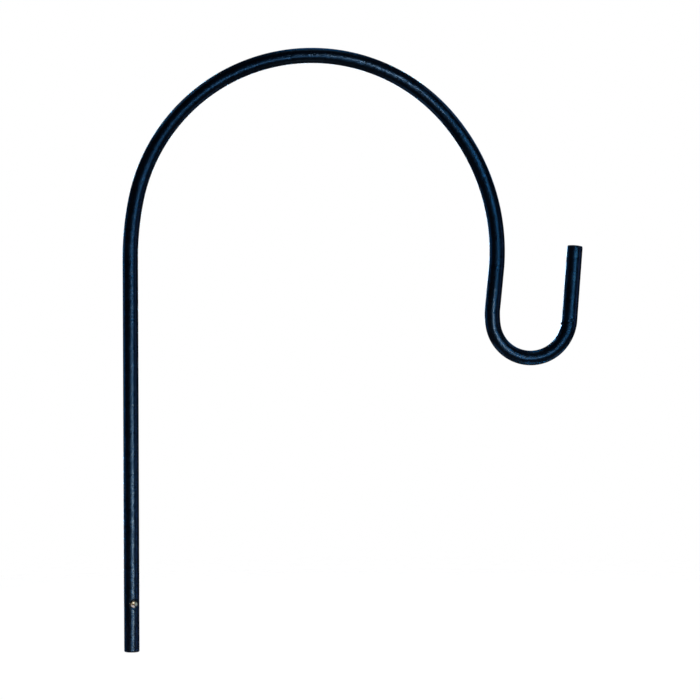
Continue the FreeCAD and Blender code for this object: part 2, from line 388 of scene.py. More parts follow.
def brass():
    """Turned and tumbled brass, pale, with a thin brown tarnish that lies deeper at the foot of the dome."""
    m = Nodes("brass")
    co = m.carried("turn_co")
    flat = m.new("ShaderNodeVectorMath", operation="LENGTH")
    m.link(m.scaled(co, (1.0, 1.0, 0.0)), flat.inputs[0])
    radius = flat.outputs["Value"]
    tarnish = m.noise(co, 0.75, 4.0, 0.6)
    fine = m.noise(co, 4.5, 3.0, 0.6)
    deep = m.fit(radius, 1.9, 3.55, 0.0, 1.0, True)
    share = m.math("ADD", m.fit(tarnish, 0.42, 0.66, 0.0, 0.75, True), m.math("MULTIPLY", deep, 0.3), True)
    colour = m.mix(share, (0.86, 0.76, 0.56), (0.50, 0.365, 0.20))
    # grime that the hole's edge rubs on to the wall and leaves on the shoulder
    grime = m.fit(m.math("ADD", radius, m.fit(tarnish, 0.35, 0.65, -0.10, 0.10)), 3.10, 3.54, 0.0, 0.60, True)
    worn = m.math("MULTIPLY", m.fit(m.split(co, "Z"), 7.9, 8.5, 0.0, 0.6, True), m.fit(m.split(co, "Z"), 8.9, 9.25, 1.0, 0.0, True))
    grime = m.math("MULTIPLY", grime, m.math("SUBTRACT", 1.0, worn))
    colour = m.mix(grime, colour, (0.085, 0.066, 0.046))
    m.link(colour, m.shader.inputs["Base Color"])
    m.shader.inputs["Metallic"].default_value = 1.0
    rough = m.math("ADD", m.fit(tarnish, 0.35, 0.7, 0.21, 0.33), m.fit(fine, 0.35, 0.65, -0.04, 0.05))
    m.link(rough, m.shader.inputs["Roughness"])
    rings = m.new("ShaderNodeMath", operation="SINE")
    m.link(m.math("MULTIPLY", m.math("ADD", radius, m.math("MULTIPLY", tarnish, 0.06)), 26.0), rings.inputs[0])
    normal = m.bump(rings.outputs[0], 0.0000014)
    normal = m.bump(fine, 0.000006, 1.0, normal)
    normal = m.bump(m.noise(co, 0.9, 2.0, 0.5), 0.00003, 1.0, normal)
    m.link(normal, m.shader.inputs["Normal"])
    return m.material


def spring_steel():
    """Rolled strip: fine lines along its length and a faint straw tint at the fold."""
    m = Nodes("spring_steel")
    co = m.carried("strip_co")                      # along, across, through, in mm
    lines = m.noise(m.scaled(co, (0.12, 14.0, 14.0)), 1.0, 4.0, 0.65)
    cloud = m.noise(co, 0.22, 3.0, 0.6)
    middle = m.fit(m.math("ABSOLUTE", m.math("SUBTRACT", m.split(co, "X"), 46.0)), 3.0, 16.0, 1.0, 0.0, True)
    colour = m.mix(m.fit(lines, 0.35, 0.65, 0.0, 1.0), (0.36, 0.36, 0.375), (0.55, 0.55, 0.56))
    colour = m.mix(m.fit(cloud, 0.48, 0.70, 0.0, 0.5, True), colour, (0.27, 0.255, 0.24))
    colour = m.mix(m.math("MULTIPLY", middle, 0.35), colour, (0.46, 0.38, 0.26))
    m.link(colour, m.shader.inputs["Base Color"])
    m.shader.inputs["Metallic"].default_value = 1.0
    m.link(m.math("ADD", m.fit(lines, 0.3, 0.7, 0.24, 0.38), m.fit(cloud, 0.4, 0.7, 0.0, 0.10)), m.shader.inputs["Roughness"])
    normal = m.bump(lines, 0.000008)
    normal = m.bump(cloud, 0.00003, 1.0, normal)
    m.link(normal, m.shader.inputs["Normal"])
    return m.material


def black_plastic():
    """Moulded plug: spark-eroded grain, slow sink waves, and pale rub marks at the edge."""
    m = Nodes("black_plastic")
    co = m.carried("turn_co")
    spark = m.noise(co, 3.4, 3.0, 0.65)
    sink = m.noise(co, 0.30, 2.0, 0.5)
    flat = m.new("ShaderNodeVectorMath", operation="LENGTH")
    m.link(m.scaled(co, (1.0, 1.0, 0.0)), flat.inputs[0])
    rim = m.fit(flat.outputs["Value"], 6.2, 7.6, 0.0, 1.0, True)
    rub = m.math("MULTIPLY", rim, m.fit(m.noise(co, 0.8, 4.0, 0.65), 0.50, 0.68, 0.0, 1.0, True))
    colour = m.mix(m.fit(sink, 0.35, 0.65, 0.0, 1.0), (0.0026, 0.0036, 0.0060), (0.0042, 0.0056, 0.0088))
    colour = m.mix(m.math("MULTIPLY", rub, 0.35), colour, (0.030, 0.032, 0.036))
    m.link(colour, m.shader.inputs["Base Color"])
    m.link(m.math("ADD", m.fit(spark, 0.35, 0.65, 0.36, 0.50), m.math("MULTIPLY", rub, 0.06)), m.shader.inputs["Roughness"])
    m.shader.inputs["IOR"].default_value = 1.49
    normal = m.bump(sink, 0.00012)
    normal = m.bump(spark, 0.000016, 1.0, normal)
    m.link(normal, m.shader.inputs["Normal"])
    return m.material


# ------------------------------------------------------------------------ tube
# Angles run round the tube from its front, towards the right of the way along.
def outer_radius(s):
    z = np.asarray(s, float) + Z_END
    r = R_SPIGOT + (R_TUBE - R_SPIGOT) * np.clip((z - SPIGOT_TOP) / (FULL_FROM - SPIGOT_TOP), 0, 1)
    r = r - 0.075 * np.exp(-(((z - 1.75) / 0.5) ** 2))          # line left by the sizing die
    low = np.clip(-z, 0.0, ROLL_R)
    return np.where(z < 0, R_SPIGOT - ROLL_R + np.sqrt(np.maximum(ROLL_R ** 2 - low ** 2, 0)), r)


def inner_radius(s):
    return np.where(np.asarray(s) < -Z_END, R_SPIGOT - WALL, outer_radius(np.maximum(s, -Z_END)) - WALL)


def section(s):
    """How far bending has flattened the tube: (in the hook's plane, across it)."""
    tight = np.sin(math.pi * np.clip((s - S_HOOK) / (S_TIP - S_HOOK), 0.0, 1.0)) ** 1.2
    arch = hump(s, S_ARCH + 150.0, S_ARCH + 360.0, 160.0)
    return 1.0 - 0.050 * tight - 0.010 * arch, 1.0 + 0.025 * tight + 0.005 * arch


def dish(theta, s):
    """How far the punch has drawn the wall in around the button's hole, in mm."""
    off = np.hypot(R_TUBE * np.sin(np.clip(theta - BUTTON_YAW, -1.5, 1.5)), s - (BUTTON_Z - Z_END)) - HOLE_R
    return -0.38 * np.exp(-((np.maximum(off, 0.0) / 1.45) ** 2))


def dents(theta, s):
    """Raised (plus) and pressed (minus) marks of the tools, in mm: the dish round the hole, and a small fold on the inside where the small hook's bend ends, with a crease from it round the front."""
    d = s - S_TIP
    inside = (theta + math.pi / 2 + math.pi) % (2 * math.pi) - math.pi
    fold = (0.95 * np.exp(-((d + 4.4) / 1.1) ** 2) - 0.34 * np.exp(-((d + 6.9) / 1.1) ** 2)) * np.exp(-(inside / 0.55) ** 2)
    line = d - (-0.81 + 3.59 * np.sin(theta))
    front = (theta + math.pi) % (2 * math.pi) - math.pi
    reach = smooth((np.cos(front) + 0.55) / 0.5) * smooth((0.80 - np.sin(front)) / 0.6)
    deep = 0.07 * reach + 0.36 * np.exp(-((front - 0.22) / 0.30) ** 2)
    crease = deep * (0.45 * np.exp(-((line + 2.2) / 1.1) ** 2) - np.exp(-(line / 0.90) ** 2))
    # softer mark at the other end of the same bend
    d0 = s - S_HOOK
    press = -0.10 * np.exp(-((d0 - 2.0) / 5.0) ** 2) * np.exp(-(inside / 0.9) ** 2)
    return fold + crease + press + dish(theta, s)


def on_tube(theta, s, r, marks=1.0):
    x, z, a = along(TUBE, s)
    flat, wide = section(s)
    r = r + marks * dents(theta, s)
    f, e = r * wide * np.cos(theta), r * flat * np.sin(theta)
    return np.stack([x + e * np.sin(a), -f, z - e * np.cos(a)], 1)


def tube_values(edge):
    def values(theta, s):
        s, theta = np.broadcast_arrays(np.asarray(s, float), np.asarray(theta, float))
        r = R_TUBE
        # edge carries the mask of paler edges: worn coat, and a painted glint at the rim of the button's hole
        return {"tube_co": np.stack([s, r * np.cos(theta), r * np.sin(theta)], 1), "edge": edge(theta, s)}

    return values


def make_tube(material):
    shape = Shape()
    around = 96
    columns = BUTTON_YAW + np.arange(around) * (2 * math.pi / around) - math.pi
    mid, half_c, half_r = around // 2, 15, 14
    s_button = BUTTON_Z - Z_END
    near = s_button + np.linspace(-7.0, 7.0, 2 * half_r + 1)

    def steps(a, b, size):
        n = max(1, int(round((b - a) / size)))
        return list(np.linspace(a, b, n + 1)[:-1])

    # mask of the paler edges: worn, thin coat at the hole's rim and the lip, and a painted glint at the hole's rim
    def paler_edge_and_glint_mask(theta, s):
        w = R_TUBE * (theta - BUTTON_YAW)
        d = np.hypot(R_TUBE * np.sin(np.clip(theta - BUTTON_YAW, -1.5, 1.5)), s - s_button) - HOLE_R
        at_hole = np.where(np.abs(w) < 9, np.exp(-np.maximum(d, 0) / 0.22), 0.0)
        return np.maximum(at_hole, 0.8 * np.exp(-np.maximum(s - 0.6, 0) / 0.7))

    values = tube_values(paler_edge_and_glint_mask)
    fillet = 0.30

    # outer wall
    roll = [ROLL_R - ROLL_R * math.sin(math.radians(v)) for v in (62, 50, 39, 29, 20, 12, 5)]
    rows = roll + steps(ROLL_R, ROLL_R + 4.0, 0.25) + steps(ROLL_R + 4.0, near[0], 2.0) + list(near) + steps(near[-1] + 1.0, FULL_FROM - Z_END, 1.5)
    rows += steps(FULL_FROM - Z_END, TUBE[1][0], 5.0) + steps(TUBE[1][0], TUBE[2][0], 3.2)
    rows += steps(TUBE[2][0], TUBE[3][0], 2.8) + steps(TUBE[3][0], TUBE[4][0], 2.8) + steps(TUBE[4][0], S_LIMB, 2.8)
    rows += steps(S_LIMB, S_HOOK - 14, 3.6) + steps(S_HOOK - 14, S_TIP - 10, 1.25) + steps(S_TIP - 10, S_TIP + 5, 0.35)
    rows += steps(S_TIP + 5, TUBE_LEN - 3, 3.4) + steps(TUBE_LEN - 3, TUBE_LEN - 0.3, 0.9) + [TUBE_LEN - 0.3]
    rows = np.array(rows)
    r0 = int(np.argmin(np.abs(rows - near[0])))
    block = (mid - half_c, mid + half_c, r0, r0 + 2 * half_r)

    def hole(ro, rho):
        def angle(theta, s):
            return np.arctan2(s - s_button, R_TUBE * np.sin(theta - BUTTON_YAW))

        def edge(a):
            w = rho * np.cos(a)
            return BUTTON_YAW + np.arcsin(w / ro(s_button + rho * np.sin(a))), s_button + rho * np.sin(a)

        return {"angle": angle, "edge": edge}

    def wall_out(theta, s):
        return on_tube(theta, s, outer_radius(s))

    def wall_in(theta, s):
        return on_tube(theta, s, inner_radius(s), 0.8)

    grid, edge_out, angle = holed_sheet(shape, wall_out, columns, rows, block, hole(outer_radius, HOLE_R + fillet), 9, values, "out")

    def loop(s, r, marks=0.0, rim=0.0):
        ss = np.full(around, float(s))
        co = values(columns, ss)
        co["edge"] = np.maximum(co["edge"], rim)
        return shape.add(on_tube(columns, ss, np.full(around, float(r)), marks), **co)

    # cut end at the tip: a small round, the flat of the wall, a small round
    top = [(TUBE_LEN - 0.3 + 0.3 * math.sin(v), R_TUBE - 0.3 + 0.3 * math.cos(v), 0.5) for v in np.radians((30, 60, 90))]
    r_in = R_TUBE - WALL
    top += [(TUBE_LEN - 0.2 + 0.2 * math.sin(v), r_in + 0.2 - 0.2 * math.cos(v), 0.3) for v in np.radians((90, 50, 0))]
    last, at, run = grid[-1], (TUBE_LEN - 0.3, R_TUBE), 0.0
    for s, r, rim in top:
        row = loop(s, r, rim=rim)
        step = math.hypot(s - at[0], r - at[1])
        shape.strip(last, row, "cut", run, run + step)
        last, at, run = row, (s, r), run + step

    # bore, from the tip down to the spigot
    inside = [TUBE_LEN - 1.0] + steps(TUBE_LEN - 6, S_TIP, -9.0) + steps(S_TIP, S_HOOK, -4.0) + steps(S_HOOK, S_LIMB, -12.0)
    inside += steps(S_LIMB, TUBE[1][0], -8.0) + steps(TUBE[1][0], 120.0, -14.0) + steps(120.0, near[-1] + 1.0, -4.0)
    inside += list(near[::-1]) + steps(near[0] - 2.0, ROLL_R, -3.0) + [ROLL_R]
    inside = np.array(inside)
    q0 = int(np.argmin(np.abs(inside - near[-1])))
    block_in = (mid - half_c, mid + half_c, q0, q0 + 2 * half_r)
    grid_in, edge_in, angle_in = holed_sheet(shape, wall_in, columns, inside, block_in, hole(inner_radius, HOLE_R), 7, values, "in")
    shape.strip(last, grid_in[0], "in", TUBE_LEN - 0.2, inside[0])

    # rolled lip
    rc = R_SPIGOT - ROLL_R
    lip = [(ROLL_R - 0.5 * math.sin(v), rc + 0.5 * math.cos(v)) for v in np.radians((30, 60))]
    lip += [(1.2 - 0.15 + 0.15 * math.cos(v), rc + 0.15 - 0.15 * math.sin(v)) for v in np.radians((15, 55, 90))]
    lip += [(0.55, rc)]
    lip += [(0.25 - 0.25 * math.sin(v), rc + 0.25 - 0.25 * math.cos(v)) for v in np.radians((0, 45, 80))]
    lip += [(ROLL_R - ROLL_R * math.sin(v), rc + ROLL_R * math.cos(v)) for v in np.radians((73,))]
    last, at, run = grid_in[-1], (ROLL_R, R_SPIGOT - WALL), 0.0
    for s, r in lip:
        row = loop(s, r, rim=0.8 * math.exp(-max(s - 0.6, 0.0) / 0.7))
        step = math.hypot(s - at[0], r - at[1])
        shape.strip(last, row, "lip", run, run + step)
        last, at, run = row, (s, r), run + step
    shape.strip(last, grid[0], "lip", run, run + 0.3)

    # wall of the hole, with a rounded outer edge
    side = np.array([math.cos(BUTTON_YAW), math.sin(BUTTON_YAW), 0.0])

    def at_hole(a, rho, depth):
        w, z = rho * np.cos(a), rho * np.sin(a)
        r = outer_radius(s_button + z)
        r = r + dish(BUTTON_YAW + np.arcsin(w / r), s_button + z)
        u = np.sqrt(r ** 2 - w ** 2) - depth
        return np.outer(u, OUT) + np.outer(w, side) + np.outer(BUTTON_Z + z, UP)

    order_in = np.array([int(np.argmin(np.abs(np.exp(1j * angle_in) - np.exp(1j * a)))) for a in angle])
    last, turn = edge_out, 0.0
    for v in np.radians((22, 45, 68, 90)):
        rho, depth = HOLE_R + fillet * (1 - math.sin(v)), fillet * (1 - math.cos(v))
        p = at_hole(angle, rho, depth)
        co = values(BUTTON_YAW + np.arcsin(rho * np.cos(angle) / R_TUBE), s_button + rho * np.sin(angle))
        row = shape.add(p, **co)
        shape.strip(last, row, "hole", fillet * turn, fillet * v)
        last, turn = row, v
    p = at_hole(angle, HOLE_R, 0.75)
    row = shape.add(p, **values(BUTTON_YAW + np.arcsin(HOLE_R * np.cos(angle) / R_TUBE), s_button + HOLE_R * np.sin(angle)))
    shape.strip(last, row, "hole", 0.47, 0.92)
    shape.strip(row, edge_in[order_in], "hole", 0.92, 1.4)

    # The wall lies on the sheet in five long strips, cut at rows of points, with
    # the bore and the small rings below them.
    cuts = [rows[int(np.argmin(np.abs(rows - rows[-1] * k / 5)))] for k in range(5)]
    pixel, per_mm = 1.0 / 1024, 3.7
    high = 2 * math.pi * R_TUBE * per_mm
    small = {"cut": (200.0, 184.0), "lip": (4.0, 184.0), "hole": (400.0, 92.0)}

    def sheet(patch, q):
        a, s = q[:, 0], q[:, 1]
        if patch == "out":
            k = max(i for i in range(5) if i == 0 or s.mean() > cuts[i])
            u, v = 4.0 + (s - cuts[k]) * per_mm, 4.0 + k * (high + 4.0) + (1.0 - a) * high
        elif patch == "in":
            u, v = 4.0 + s / TUBE_LEN * 1014.0, 951.0 + a * 30.0
        else:
            x, wide = small[patch]
            u, v = x + a * wide, 986.0 + s * 6.0
        return np.stack([u, v], 1) * pixel

    return shape.make("bent_tube", material, sheet)


# ---------------------------------------------------------------------- button
def make_button(material):
    r, tip, dome_h, edge = BUTTON_R, R_TUBE + 3.2, 1.7, 0.7
    R = (r * r + dome_h * dome_h) / (2 * dome_h)
    centre = tip - R
    er = r - edge
    eu = centre + math.sqrt((R - edge) ** 2 - er * er)
    meet = math.degrees(math.atan2(eu - centre, er))
    foot, tail_out, tail_in, rs, rt = 5.37, 4.73, 4.03, 1.75, 2.7
    tail_R = (rt * rt + 0.45 * 0.45) / 0.9
    profile = [(0.0, tail_in)]
    for t in np.linspace(0.15, 0.93, 7):
        rr = rt * t
        profile.append((rr, tail_in + tail_R - math.sqrt(tail_R ** 2 - rr ** 2)))
    profile += corner((rt - 0.12, tail_in + 0.45 + 0.06), 0.12, -60, 0, 3)
    profile += corner((rt - 0.10, tail_out - 0.10), 0.10, 0, 90, 3)
    profile += [(2.2, tail_out)] + corner((rs + 0.10, tail_out + 0.10), 0.10, 270, 180, 3)
    profile += corner((rs + 0.10, foot - 0.10), 0.10, 180, 90, 3)
    profile += [(2.6, foot), (r - 0.34, foot)] + corner((r - 0.30, foot + 0.30), 0.30, -80, 0, 5)
    profile += [(r, foot + 0.8), (r, foot + 1.6), (r, foot + 2.4), (r, foot + 3.1)]
    profile += corner((er, eu), edge, 0, meet, 8)
    for v in np.radians(np.linspace(meet, 90, 20)[1:-1]):
        profile.append((R * math.cos(v), centre + R * math.sin(v)))
    profile.append((0.0, tip))
    shape = Shape()
    lathe(shape, profile, (0.0, 0.0, BUTTON_Z), OUT, 96)
    return shape.make("snap_button", material)


# ----------------------------------------------------------------- spring clip
STRIP_W, STRIP_T, STRIP_U = 7.6, 0.6, 5.05


def make_clip(material):
    fold_r, fold_up, knee_up, knee_r, down, end_r = 2.4, 36.0, 7.0, 14.0, 6.5, 2.6
    rise = fold_up - knee_up
    dist = math.hypot(STRIP_U, rise)
    lean = math.atan2(STRIP_U, rise) - math.asin(fold_r / dist)
    knee_t = knee_r * math.tan(lean / 2)
    run = math.sqrt(dist ** 2 - fold_r ** 2) - knee_t
    ld = math.degrees(lean)
    land = down + knee_up - knee_t
    path, total = walk((land, (knee_r, ld), run, (fold_r, 180 - 2 * ld), run, (knee_r, ld), land), STRIP_U, BUTTON_Z - down, 90.0)
    across = np.array([OUT[1], -OUT[0], 0.0])
    hw, ht, c = STRIP_W / 2, STRIP_T / 2, 0.13

    # the strip's section as (share of the width, share of the thickness, corner part)
    face = np.linspace(1.0, -1.0, 13)
    turn = np.radians((30, 60))
    sec = [(1, 0, 1.0, -1.0), (1, 0, 1.0, 1.0)]                    # side at +w
    sec += [(1, 0, math.cos(v), 1 + math.sin(v)) for v in turn]
    sec += [(0, t, 0.0, 2.0) for t in face]
    sec += [(-1, 0, -math.sin(v), 1 + math.cos(v)) for v in turn]
    sec += [(-1, 0, -1.0, 1.0), (-1, 0, -1.0, -1.0)]
    sec += [(-1, 0, -math.cos(v), -1 - math.sin(v)) for v in turn]
    sec += [(0, t, 0.0, -2.0) for t in face[::-1]]
    sec += [(1, 0, math.sin(v), -1 - math.cos(v)) for v in turn]
    n = len(sec)
    first_out, first_in = 4, 4 + 13 + 2 + 2 + 2

    def half_width(p):
        d = np.minimum(p, total - p)
        k = np.clip(end_r - d, 0.0, end_r)
        return hw - end_r + np.sqrt(np.maximum(end_r ** 2 - k ** 2, 0.0))

    def spot(index, p):
        """(w, n) of section point index, which may lie between two points."""
        index, p = np.asarray(index, float), np.asarray(p, float)
        h = half_width(p)
        w, t = np.empty_like(p), np.empty_like(p)
        for k in range(len(p)):
            i = int(math.floor(index[k] + 1e-9))
            f = index[k] - i
            vals = []
            for q in (i % n, (i + 1) % n):
                side, share, cw, cn = sec[q]
                if side:
                    vals.append((side * (h[k] - c) + c * cw, math.copysign(ht - c, cn) + c * (cn - math.copysign(1, cn))))
                else:
                    vals.append((share * (h[k] - c), math.copysign(ht, cn)))
            w[k] = vals[0][0] + (vals[1][0] - vals[0][0]) * f
            t[k] = vals[0][1] + (vals[1][1] - vals[0][1]) * f
        return w, t

    def place(index, p):
        w, t = spot(index, p)
        u, z, a = along(path, p)
        u, z = u + t * np.sin(a), z - t * np.cos(a)
        return np.outer(u, OUT) + np.outer(z, UP) + np.outer(w, across)

    def values(index, p):
        w, t = spot(index, p)
        return {"strip_co": np.stack([np.asarray(p, float), w, t], 1)}

    rows = [0.0, 0.05, 0.2, 0.45, 0.8, 1.2, 1.7, 2.3] + list(np.linspace(down - 3.2, down + 3.2, 13))
    rows += list(np.linspace(down + 4.0, land, 5)) + list(np.linspace(land, path[2][0], 4)[1:])
    rows += list(np.linspace(path[2][0], path[3][0], 22)[1:]) + list(np.linspace(path[3][0], path[4][0], 25)[1:])
    rows += list(np.linspace(path[4][0], path[5][0], 22)[1:]) + list(np.linspace(path[5][0], path[6][0], 4)[1:])
    rows += list(np.linspace(path[6][0], total - 2.6, 8)[1:]) + [total - v for v in (2.0, 1.5, 1.1, 0.8, 0.45, 0.2, 0.05, 0.0)]
    rows = np.array(rows)
    r0 = 8
    columns = np.arange(n, dtype=float)
    hole_r = 1.8
    flat = hw - c

    def hole(first, sign):
        mid = first + 6

        def angle(i, p):
            return np.arctan2(p - down, -sign * (i - mid) / 6.0 * flat)

        def edge(a):
            return mid - sign * hole_r * np.cos(a) / flat * 6.0, down + hole_r * np.sin(a)

        return {"angle": angle, "edge": edge}

    # both faces of the front leg are holed: the outer one here, the inner one next
    shape = Shape()
    grid = np.full((len(rows), n), -1, int)
    blocks = {"out": (first_out + 1, first_out + 11, r0, r0 + 12), "in": (first_in + 1, first_in + 11, r0, r0 + 12)}

    def cut(i, j):
        return any(b[0] < i < b[1] and b[2] < j < b[3] for b in blocks.values())

    def cut_face(i, j):
        return any(b[0] <= i < b[1] and b[2] <= j < b[3] for b in blocks.values())

    for j, p in enumerate(rows):
        keep = [i for i in range(n) if not cut(i, j)]
        pp = np.full(len(keep), p)
        grid[j, keep] = shape.add(place(columns[keep], pp), **values(columns[keep], pp))
    for j in range(len(rows) - 1):
        for i in range(n):
            if not cut_face(i, j):
                k = (i + 1) % n
                shape.face((grid[j, i], grid[j, k], grid[j + 1, k], grid[j + 1, i]))
    edges = {}
    for key, first, sign in (("out", first_out, 1), ("in", first_in, -1)):
        b = blocks[key]
        rim = rim_of(*b)
        bc, br = np.array([columns[i] for i, _ in rim]), np.array([rows[j] for _, j in rim])
        h = hole(first, sign)
        angle = h["angle"](bc, br)
        hc, hr = h["edge"](angle)
        last = np.array([grid[j, i] for i, j in rim])
        for k in range(1, 5):
            f = k / 4
            row = shape.add(place(bc + (hc - bc) * f, br + (hr - br) * f), **values(bc + (hc - bc) * f, br + (hr - br) * f))
            shape.strip(last, row)
            last = row
        edges[key] = (last, angle)
    a_out, a_in = edges["out"][1], edges["in"][1]
    order = np.array([int(np.argmin(np.abs(np.exp(1j * a_in) - np.exp(1j * a)))) for a in a_out])
    shape.strip(edges["out"][0], edges["in"][0][order])
    # flat ends
    shape.face(grid[0][::-1])
    shape.face(grid[-1])
    return shape.make("spring_leaf", material)


# ------------------------------------------------------------------------ plug
def make_plug(material):
    x, z, a = along(TUBE, [TUBE_LEN])
    axis = np.array([math.cos(a[0]), 0.0, math.sin(a[0])])
    rh, h, edge, crown, rs, rf, ri = 7.8, 2.25, 1.5, 0.5, 6.0, 6.7, 4.3
    ec = (rh - edge, h - crown - edge)
    R = (ec[0] ** 2 + crown ** 2) / (2 * crown)
    profile = [(0.0, -0.6), (1.5, -0.6), (3.2, -0.6)] + corner((ri - 0.25, -0.85), 0.25, 90, 0, 3)
    profile += [(ri, -4.0), (ri, -8.0), (ri, -11.6)] + corner((ri + 0.25, -11.75), 0.25, 180, 270, 3)
    profile += [(5.0, -12.0)] + corner((rs - 0.8, -11.2), 0.8, -80, 0, 4)
    for i in (2, 1, 0):
        top = -2.2 - 3.0 * i
        profile += [(rs, top - 1.25), (rs + 0.08, top - 1.1), (rf - 0.12, top - 0.22), (rf, top - 0.1), (rf - 0.06, top), (rs + 0.12, top), (rs, top + 0.12)]
    profile += [(rs, -0.5), (rs + 0.1, -0.1), (rs + 0.3, 0.02), (6.9, 0.02), (rh - 0.14, 0.02), (rh - 0.04, 0.06), (rh, 0.16)]
    profile += corner(ec, edge, 0, 84, 10)
    for t in np.linspace(1.0, 0.2, 9):
        rr = ec[0] * t
        profile.append((rr, h - R + math.sqrt(R * R - rr * rr)))
    # gate mark of the mould, a shallow dimple
    profile += [(0.95, h - 0.02), (0.80, h - 0.07), (0.45, h - 0.10), (0.0, h - 0.10)]
    shape = Shape()
    lathe(shape, profile, (x[0], 0.0, z[0]), axis, 96)
    return shape.make("tip_cap", material)


coat = powder_coat()
tube = make_tube(coat)
button = make_button(brass())
clip = make_clip(spring_steel())
plug = make_plug(black_plastic())

for piece, node, slot in (
    (tube, "hook_tube", "powder_coat"),
    (button, "lock_button", "brass"),
    (clip, "spring_clip", "spring_steel"),
    (plug, "tip_plug", "black_plastic"),
):
    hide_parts(node)
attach(tube, "hook")
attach(plug, "hook")
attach(button, "button")
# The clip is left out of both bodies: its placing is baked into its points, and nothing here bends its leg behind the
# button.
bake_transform(clip)


# ------------------------------------------------------------- camera and light
VIEW_MID = Vector((0.22465, 0.0, 0.30670))
VIEW_DIST, VIEW_WIDTH, VIEW_ROLL = 3.2, 0.71694, math.radians(0.233)
camera = bpy.data.cameras.new("camera")
camera.sensor_fit = "HORIZONTAL"
camera.sensor_width = 36.0
camera.lens = 36.0 * VIEW_DIST / VIEW_WIDTH
camera.clip_start, camera.clip_end = 0.1, 50.0
eye = bpy.data.objects.new("camera", camera)
scene.collection.objects.link(eye)
up = Vector((math.sin(VIEW_ROLL), 0.0, math.cos(VIEW_ROLL)))
back = Vector((0.0, -1.0, 0.0))
right = up.cross(back)
eye.matrix_world = Matrix.Translation(VIEW_MID + back * VIEW_DIST) @ Matrix((right, up, back)).transposed().to_4x4()
scene.camera = eye


def lights_only(name, *pieces):
    """The pieces that a lamp may light."""
    group = bpy.data.collections.new(name)
    for piece in pieces:
        group.objects.link(piece)
    return group


COATED = lights_only("coated", tube, plug)
BRASS = lights_only("brass", button, clip)
AT_BUTTON = Vector(OUT * 9.7 + UP * BUTTON_Z) * MM


def hang(name, data, at, azimuth, elevation, distance, lit):
    """Hangs a lamp so that it faces a place. Azimuth 0 is at the camera, and plus is to its right."""
    a, e = math.radians(azimuth), math.radians(elevation)
    way = Vector((math.sin(a) * math.cos(e), -math.cos(a) * math.cos(e), math.sin(e)))
    obj = bpy.data.objects.new(name, data)
    obj.location = at + way * distance
    obj.rotation_mode = "QUATERNION"
    obj.rotation_quaternion = (-way).to_track_quat("-Z", "Y")
    obj.visible_camera = False
    obj.light_linking.receiver_collection = lit
    scene.collection.objects.link(obj)


def panel(name, azimuth, elevation, size, power, colour, at=VIEW_MID, distance=2.8, lit=COATED):
    """A square soft box."""
    data = bpy.data.lights.new(name, "AREA")
    data.shape, data.size, data.energy, data.color = "SQUARE", size, power, colour
    hang(name, data, at, azimuth, elevation, distance, lit)


def beam(name, azimuth, elevation, x, z, reach, power, colour, soft=0.05):
    """A lamp with a round soft-edged beam, aimed at a point of the hook's plane."""
    data = bpy.data.lights.new(name, "SPOT")
    data.energy, data.color, data.shadow_soft_size = power, colour, soft
    data.spot_size, data.spot_blend = 2 * math.atan(reach / 2.8), 1.0
    hang(name, data, Vector((x, 0.0, z)), azimuth, elevation, 2.8, COATED)


panel("front_a", 18, 12, 0.42, 12.2, (0.09, 0.49, 1.0))
panel("front_b", 2, -12, 0.42, 7.8, (0.31, 0.61, 1.0))
panel("front_c", 34, -4, 0.42, 7.2, (0.09, 0.49, 1.0))
panel("front_d", 34, 20, 0.42, 6.1, (0.19, 0.54, 1.0))
panel("front_e", 10, -12, 0.42, 4.6, (0.09, 0.49, 1.0))
beam("leg_a", 28, -4, 0.0, 0.035, 0.29, 57.0, (1.0, 0.93, 0.79), 0.18)
beam("leg_b", 20, -4, 0.0, 0.035, 0.29, 35.0, (1.0, 0.93, 0.79), 0.18)
beam("leg_c", 28, -4, 0.0, 0.24, 0.22, 44.0, (0.76, 0.84, 0.90), 0.18)
beam("leg_d", 80, 0, 0.0, 0.0, 0.22, 14.0, (0.05, 0.30, 1.0), 0.18)
beam("leg_e", -154, 0, 0.0, 0.05, 0.15, 18.0, (0.04, 0.46, 1.0), 0.08)
for turn, power in ((30, 42.0), (100, 36.0), (150, 42.0), (210, 42.0), (330, 8.0)):   # low, for the leg seen from above
    beam("leg_low_%d" % turn, turn, -24, 0.0, 0.2, 0.24, power, (0.25, 0.58, 1.0), 0.18)
beam("crown", 2, 5, 0.262, 0.594, 0.095, 76.0, (0.66, 0.82, 1.0))
beam("hook_b", 14, -8, 0.395, 0.30, 0.07, 46.0, (0.20, 0.56, 1.0))
beam("hook_c", 12, 2, 0.378, 0.318, 0.05, 80.0, (1.0, 0.97, 0.92), 0.03)
beam("hook_d", 0, -80, 0.40, 0.30, 0.10, 18.0, (0.08, 0.42, 1.0))
for turn, rise, power in ((192, -64, 18.0), (160, -63, 21.0), (139, -57, 21.0), (122, -40, 14.0)):   # round the small hook's lower rim
    beam("hook_rim_%d" % turn, turn, rise, 0.415, 0.305, 0.10, power, (0.06, 0.46, 1.0))
beam("tip", 22, 0, 0.455, 0.385, 0.065, 22.0, (0.40, 0.86, 1.0))
panel("left_low", -110, -45, 0.9, 3.8, (0.24, 0.54, 1.0))
panel("left_high", -110, 45, 0.9, 4.4, (0.17, 0.48, 1.0))
panel("left", -108, 0, 0.9, 4.2, (0.06, 0.38, 1.0))
panel("right_low", 110, -45, 0.9, 2.5, (0.34, 0.58, 1.0))
panel("right_high", 110, 45, 0.9, 3.8, (0.20, 0.46, 1.0))
panel("right", 85, 0, 0.9, 3.3, (0.24, 0.42, 1.0))
panel("top", 0, 88, 0.9, 1.5, (0.46, 0.72, 1.0))
panel("top_back", 180, 62, 0.9, 5.0, (0.02, 0.36, 1.0))
panel("low", 0, -88, 0.9, 1.4, (0.62, 0.85, 1.0))
panel("rear_left", -156, 12, 0.9, 1.8, (0.06, 0.40, 1.0))
